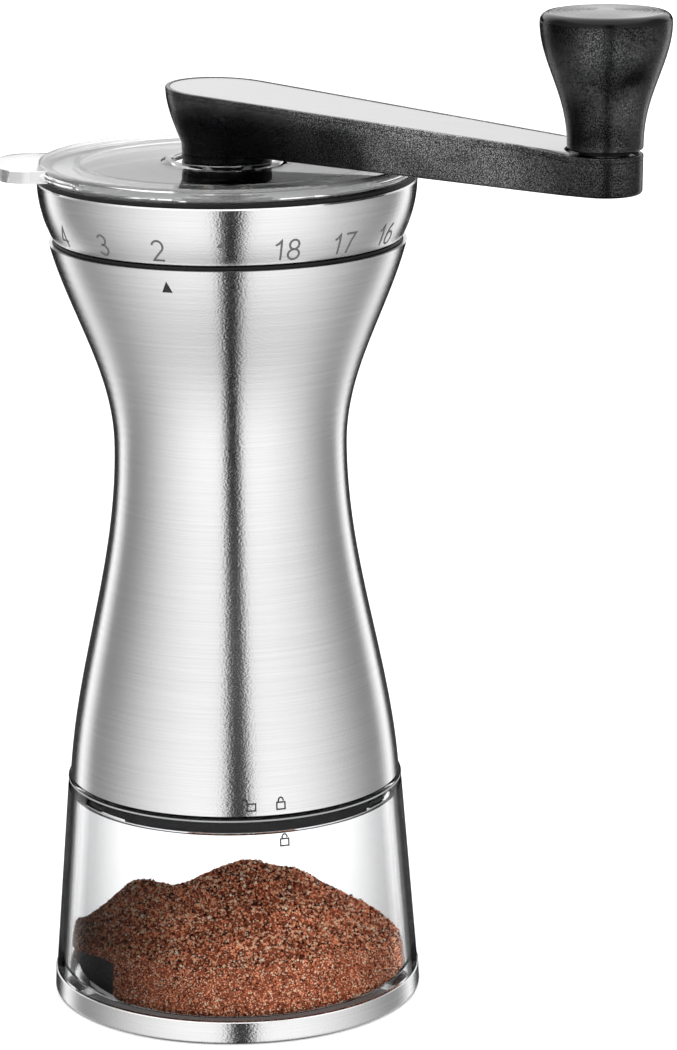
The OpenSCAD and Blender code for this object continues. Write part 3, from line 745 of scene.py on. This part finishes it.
# ---------------------------------------------------------------- ground coffee
JAR_FLOOR, HEAP_CLEAR = 4.6, 0.45


def jar_inner_r(z):
    slope = (JAR_IN_MOUTH - JAR_IN_FOOT) / (JAR_MOUTH_Z - JAR_FOOT_Z)
    if z < JAR_FOOT_Z:
        return JAR_IN_FOOT - 2 + math.sqrt(max(4 - (JAR_FOOT_Z - z) ** 2, 0))
    return JAR_IN_FOOT + slope * (z - JAR_FOOT_Z)


def heap_height(x, y):
    """Height of the grounds: a main hump right of the middle and a small one on the left."""
    dx = x - 3
    if dx > 0:
        hump = 15 * math.exp(-(dx / 24) ** 2.2) - 0.045 * max(x - 27, 0) ** 2
    else:
        hump = 1.5 + 13.5 * math.exp(-dx * dx / 400) + 6.9 * math.exp(-(x + 22.6) ** 2 / 50)
    fall = math.exp(-(y - 2) ** 2 / (2 * 23.8 ** 2))
    wander = noise.noise(Vector((x, y, 0)) * 0.16) * 0.9 + noise.noise(Vector((x, y, 9)) * 0.45) * 0.45
    return max(11.7 - 0.28 * max(y - 2, 0), 6) + hump * fall + wander


def hollow(azimuth):
    """How far the grounds stand back from the wall, in the small hollow at the front left."""
    off = (azimuth - math.radians(-69)) / math.radians(21)
    return 1.6 * math.exp(-off ** 6)


def hollow_top(azimuth):
    return 13.0 - 0.11 * max(-math.degrees(azimuth) - 55, 0)


def heap_edge(azimuth, z):
    """Radius of the heap's side at a height: against the wall, except in the hollow."""
    low_part = 1 - smooth_step((z - hollow_top(azimuth) + 0.5) / 1.5)
    return jar_inner_r(z) - HEAP_CLEAR - hollow(azimuth) * low_part


def from_front(azimuth, r):
    """x and y of a point at an angle from the front, -Y, towards +X."""
    return r * math.sin(azimuth), -r * math.cos(azimuth)


def coffee_heap():
    sectors, circles, side_levels = 200, 46, 12
    points, faces = [(0, 0, heap_height(0, 0))], []
    rim = []
    for k in range(sectors):
        azimuth = 2 * math.pi * k / sectors
        azimuth = azimuth - 2 * math.pi if azimuth > math.pi else azimuth
        x, y = from_front(azimuth, 34)
        edge_z = heap_height(x, y)
        for _ in range(3):
            x, y = from_front(azimuth, heap_edge(azimuth, edge_z))
            edge_z = heap_height(x, y)
        rim.append((azimuth, heap_edge(azimuth, edge_z), edge_z))
    for i in range(1, circles + 1):
        for azimuth, edge, edge_z in rim:
            x, y = from_front(azimuth, edge * i / circles)
            points.append((x, y, heap_height(x, y)))
    for i in range(1, side_levels + 1):
        for azimuth, edge, edge_z in rim:
            z = edge_z + (JAR_FLOOR - edge_z) * i / side_levels
            x, y = from_front(azimuth, heap_edge(azimuth, z))
            points.append((x, y, z))
    rows = circles + side_levels
    for k in range(sectors):
        faces.append([0, 1 + k, 1 + (k + 1) % sectors])
    for i in range(rows - 1):
        for k in range(sectors):
            m = (k + 1) % sectors
            a = 1 + i * sectors
            faces.append([a + k, a + sectors + k, a + sectors + m, a + m])
    base = 1 + (rows - 1) * sectors
    faces.append([base + k for k in range(sectors)])
    # Painted shade: the low faces in the hollow get the near-black shade coffee in place of a cast shadow.
    shaded = [1 if len(f) == 4 and f[0] > circles * sectors and hollow(rim[(f[0] - 1) % sectors][0]) > 0.8
              and points[f[0]][2] < hollow_top(rim[(f[0] - 1) % sectors][0]) + 0.5 else 0
              for f in faces]
    add_piece("coffee_heap", points, faces, [MATERIALS["coffee"], MATERIALS["coffee_painted_shade"]], "container",
              "coffee", ["ground_coffee"], sharp=180, face_materials=shaded)


CRUMB_CORNERS = [(1, 0, 0), (-1, 0, 0), (0, 1, 0), (0, -1, 0), (0, 0, 1), (0, 0, -1)]
CRUMB_FACES = [(0, 2, 4), (2, 1, 4), (1, 3, 4), (3, 0, 4), (2, 0, 5), (1, 2, 5), (3, 1, 5), (0, 3, 5)]


def crumb(points, faces, rng, centre, size):
    """Adds one angular crumb: an octahedron with uneven corners, turned at random."""
    angle = rng.uniform(0, math.tau)
    axis = Vector((rng.gauss(0, 1), rng.gauss(0, 1), rng.gauss(0, 1)))
    turn = Matrix.Rotation(angle, 3, axis)
    base = len(points)
    for corner in CRUMB_CORNERS:
        p = turn @ (Vector(corner) * size * rng.uniform(0.65, 1.3))
        points.append((centre[0] + p.x, centre[1] + p.y, centre[2] + p.z))
    faces.extend([tuple(base + k for k in face) for face in CRUMB_FACES])


def add_crumbs(name, points, faces, rng):
    """Makes one piece of the crumbs so far, each in a tone drawn at random."""
    tones = rng.choices(range(len(CRUMB_TONES)), [share for _, share in CRUMB_TONES],
                        k=len(points) // len(CRUMB_CORNERS))
    add_piece(name, points, faces, [tone for tone, _ in CRUMB_TONES], "container", "coffee",
              sharp=10, face_materials=[tone for tone in tones for _ in CRUMB_FACES])


def coffee_crumbs():
    """Loose crumbs over the heap: coarse on top, finer against the clear wall, made as two pieces.
    They are two pieces, because an exported piece keeps all its faces only up to 200 000.
    """
    rng = random.Random(7)
    points, faces = [], []
    top_count, wall_count, stray_count = 24900, 21000, 50
    for _ in range(top_count):
        azimuth, spread = rng.uniform(-math.pi, math.pi), math.sqrt(rng.random())
        x, y = from_front(azimuth, spread * 36.4)
        z = heap_height(x, y)
        size = rng.uniform(0.18, 0.36) * (1.4 if rng.random() < 0.15 else 1)
        reach = heap_edge(azimuth, z) - size * 0.7
        if math.hypot(x, y) > reach:
            x, y = from_front(azimuth, reach)
            z = heap_height(x, y)
        crumb(points, faces, rng, (x, y, z + size * rng.uniform(-0.1, 0.8)), size)
    add_crumbs("coffee_crumbs_top", points, faces, rng)
    points, faces = [], []
    for _ in range(wall_count):
        azimuth = rng.uniform(-math.pi, math.pi)
        x, y = from_front(azimuth, 36)
        z = JAR_FLOOR + 0.3 + (heap_height(x, y) - JAR_FLOOR - 0.3) * rng.random()
        size = rng.uniform(0.14, 0.28)
        if hollow(azimuth) > 0.6 and z < hollow_top(azimuth):
            continue
        x, y = from_front(azimuth, heap_edge(azimuth, z) + HEAP_CLEAR * 0.4 - size * 0.6)
        crumb(points, faces, rng, (x, y, z), size)
    for _ in range(stray_count):
        azimuth = rng.uniform(-math.pi, math.pi)
        x, y = from_front(azimuth, rng.uniform(6, 30))
        size = rng.uniform(0.15, 0.28)
        crumb(points, faces, rng, (x, y, heap_height(x, y) + size * 1.6), size)
    add_crumbs("coffee_crumbs_wall", points, faces, rng)


# ---------------------------------------------------------------- numbers and marks
def stroke_arc(cx, cy, rx, ry, start, end, count=14):
    return [(cx + rx * math.cos(math.radians(start + (end - start) * i / count)),
             cy + ry * math.sin(math.radians(start + (end - start) * i / count))) for i in range(count + 1)]


# Digits drawn as strokes in a box 0.6 wide and 1 high
DIGITS = {
    "0": [stroke_arc(0.3, 0.5, 0.27, 0.5, 0, 360, 28)],
    "1": [[(0.1, 0.76), (0.25, 0.84), (0.38, 1.0), (0.38, 0.0)]],
    "2": [stroke_arc(0.3, 0.71, 0.27, 0.29, 165, -35) + [(0.03, 0.0), (0.58, 0.0)]],
    "3": [stroke_arc(0.28, 0.75, 0.24, 0.25, 155, -90) + stroke_arc(0.28, 0.26, 0.28, 0.26, 90, -150)],
    "4": [[(0.44, 0.0), (0.44, 1.0), (0.0, 0.3), (0.6, 0.3)]],
    "5": [[(0.53, 1.0), (0.14, 1.0), (0.07, 0.5)] + stroke_arc(0.28, 0.32, 0.29, 0.32, 132, -150)],
    "6": [stroke_arc(0.62, 0.3, 0.59, 0.72, 105, 180), stroke_arc(0.3, 0.31, 0.28, 0.31, 0, 360, 24)],
    "7": [[(0.02, 1.0), (0.58, 1.0), (0.36, 0.6), (0.2, 0.0)]],
    "8": [stroke_arc(0.3, 0.76, 0.23, 0.24, 0, 360, 22), stroke_arc(0.3, 0.26, 0.28, 0.26, 0, 360, 22)],
    "9": [stroke_arc(-0.02, 0.7, 0.59, 0.72, -75, 0), stroke_arc(0.3, 0.69, 0.28, 0.31, 0, 360, 24)],
}
LOCK_BODY = [(-0.9, 0.0), (0.9, 0.0), (0.9, 1.5), (-0.9, 1.5), (-0.9, 0.0)]
LOCK_CLOSED = [LOCK_BODY, stroke_arc(0.0, 1.75, 0.55, 0.8, 0, 180) + [(-0.55, 1.5)]]
LOCK_OPEN = [LOCK_BODY, stroke_arc(-1.45, 1.75, 0.6, 0.8, 0, 165)]


def in_short_steps(stroke, step):
    """The same polyline with no segment longer than the step."""
    line = [stroke[0]]
    for a, b in zip(stroke, stroke[1:]):
        count = max(1, math.ceil(math.dist(a, b) / step))
        line += [(a[0] + (b[0] - a[0]) * i / count, a[1] + (b[1] - a[1]) * i / count)
                 for i in range(1, count + 1)]
    return line


class Wall:
    """Places flat drawings on the outside of a CAD node, by angle from the front and height."""

    def __init__(self, node):
        mesh = NODES[node].data
        self.tree = BVHTree.FromPolygons([v.co.copy() for v in mesh.vertices],
                                         [tuple(p.vertices) for p in mesh.polygons])

    def at(self, azimuth, z, lift):
        far = Vector((*from_front(azimuth, 100), z)) * MM
        inward = Vector((*from_front(azimuth, -1), 0))
        hit, normal, _, _ = self.tree.ray_cast(far, inward)
        return (hit + normal * lift * MM) / MM

    def ribbons(self, strokes, azimuth, low, scale, width, centre, points, faces, lift=0.05, depth=0.04):
        """Adds closed thin ribbons along the strokes, wrapped on the wall."""
        radius = math.hypot(*self.at(azimuth, low, 0)[:2])
        for stroke in strokes:
            closed = math.dist(stroke[0], stroke[-1]) < 1e-6
            line = in_short_steps(stroke, 0.6 / scale)
            line = line[:-1] if closed else line
            rows = []
            for i, p in enumerate(line):
                before = line[i - 1] if i or closed else p
                after = line[(i + 1) % len(line)] if i + 1 < len(line) or closed else p
                d1 = Vector((p[0] - before[0], p[1] - before[1]))
                d2 = Vector((after[0] - p[0], after[1] - p[1]))
                d1, d2 = (d1.normalized() if d1.length else d2.normalized(),
                          d2.normalized() if d2.length else d1.normalized())
                side = Vector((-(d1 + d2).y, (d1 + d2).x)).normalized()
                reach = width / 2 / max(side.dot(Vector((-d1.y, d1.x))), 0.5)
                row = []
                for sign in (1, -1):
                    u = (p[0] - centre) * scale + sign * side.x * reach
                    v = p[1] * scale + sign * side.y * reach
                    for level in (lift, lift - depth):
                        row.append(tuple(self.at(azimuth + u / radius, low + v, level)))
                rows.append(row)
            base = len(points)
            for row in rows:
                points.extend(row)
            count = len(rows)
            for i in range(count if closed else count - 1):
                a, b = base + 4 * i, base + 4 * ((i + 1) % count)
                faces.extend([(a, a + 2, b + 2, b), (a + 2, a + 3, b + 3, b + 2),
                              (a + 3, a + 1, b + 1, b + 3), (a + 1, a, b, b + 1)])
            if not closed:
                faces.append((base, base + 1, base + 3, base + 2))
                end = base + 4 * (count - 1)
                faces.append((end, end + 2, end + 3, end + 1))


def dial_numbers():
    """Numbers 1 to 18 round the grind ring, rising clockwise seen from the front."""
    wall = Wall("dial_ring")
    height, low, pitch, first = 4.3, 169.55, 20.0, -1.9
    points, faces = [], []
    for number in range(1, 19):
        text = str(number)
        azimuth = math.radians(first - pitch * (number - 1))
        advance = 0.72
        for place, digit in enumerate(text):
            offset = (place - (len(text) - 1) / 2) * advance * height
            radius = 38.0
            wall.ribbons(DIGITS[digit], azimuth + offset / radius, low, height, 0.42, 0.3, points, faces)
    add_piece("dial_numbers", points, faces, [MATERIALS["ink"]], "grind_ring", "brushed_steel", sharp=180)


def shell_marks():
    wall = Wall("housing_shell")
    points, faces = [], []
    wall.ribbons(LOCK_OPEN, math.radians(5.4), 50.95, 1.0, 0.3, 0, points, faces)
    wall.ribbons(LOCK_CLOSED, math.radians(15.6), 50.95, 1.0, 0.3, 0, points, faces)
    add_piece("lock_marks", points, faces, [MATERIALS["dark_ink"]], "mill", "brushed_steel", sharp=180)
    azimuth, low, high, half = math.radians(-20), 162.7, 165.1, 1.15
    rows, radius = 8, 37.0
    corners = []
    for level in (0.035, 0.005):
        for i in range(rows + 1):
            t = i / rows
            for sign in (-1, 1):
                corners.append(tuple(wall.at(azimuth + sign * half * (1 - 0.98 * t) / radius,
                                             low + (high - low) * t, level)))
    shift = 2 * (rows + 1)
    sides = []
    for i in range(rows):
        a = 2 * i
        sides += [(a, a + 1, a + 3, a + 2), (shift + a, shift + a + 2, shift + a + 3, shift + a + 1),
                  (a, a + 2, shift + a + 2, shift + a), (a + 1, shift + a + 1, shift + a + 3, a + 3)]
    last = 2 * rows
    sides += [(0, shift, shift + 1, 1), (last, last + 1, shift + last + 1, shift + last)]
    add_piece("index_mark", corners, sides, [MATERIALS["dark_ink"]], "mill", "brushed_steel", sharp=180)


def container_lip():
    """The polished bead just under the container's mouth, which catches the light."""
    low, high, out = 48.62, 49.0, 0.07
    radii = [math.hypot(*Wall("container").at(0, z, 0)[:2]) for z in (low, high)]
    profile = [(radii[0] - 0.1, low), (radii[0] + out, low + 0.12), (radii[1] + out, high - 0.12),
               (radii[1] - 0.1, high)]
    add_piece("container_lip", *lathe(profile)[:2], [MATERIALS["lip"]], "container", "clear_acrylic")


def container_mark():
    wall = Wall("container")
    points, faces = [], []
    wall.ribbons(LOCK_CLOSED, math.radians(16.3), 43.1, 1.0, 0.32, 0, points, faces)
    add_piece("container_lock_mark", points, faces, [MATERIALS["dark_ink"]], "container", "clear_acrylic",
              sharp=180)


make_camera()
make_world()
make_floor()
paint_nodes()
crank_arm()
knob_and_cap()
coffee_heap()
coffee_crumbs()
dial_numbers()
shell_marks()
container_lip()
container_mark()
bpy.context.scene.view_settings.view_transform = "Standard"
